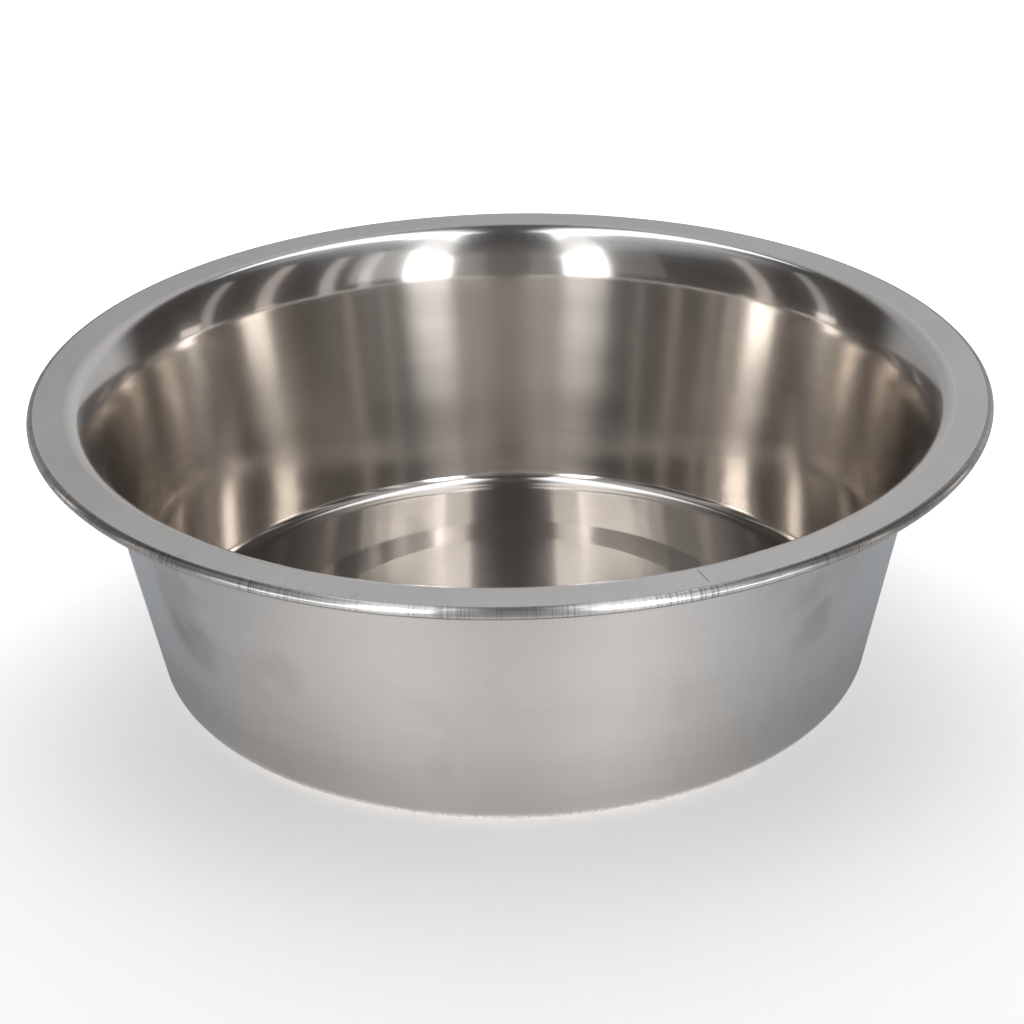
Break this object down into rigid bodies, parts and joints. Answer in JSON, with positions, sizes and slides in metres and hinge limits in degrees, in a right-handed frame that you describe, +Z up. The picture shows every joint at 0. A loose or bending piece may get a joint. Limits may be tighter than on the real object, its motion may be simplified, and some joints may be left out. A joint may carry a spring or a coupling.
{
  "type": "dog bowl",
  "caption": "Round stainless feeding bowl with a flat floor, tapered wall, flared mouth and wide flat rim that ends in a rolled bead; stands on the floor and holds food or water.",
  "frame": {"origin": "centre of the base, on the plane that the bowl stands on", "axes": "+Z up along the bowl's axis, out of its mouth; X and Y lie in the base plane"},
  "size_m": [0.27, 0.27, 0.082],
  "materials": {
    "stainless_steel": "polished inside and on the bead, satin on the flange and outside"
  },
  "bodies": {
    "root": {"bowl_shell": "stainless_steel"}
  },
  "joints": []
}
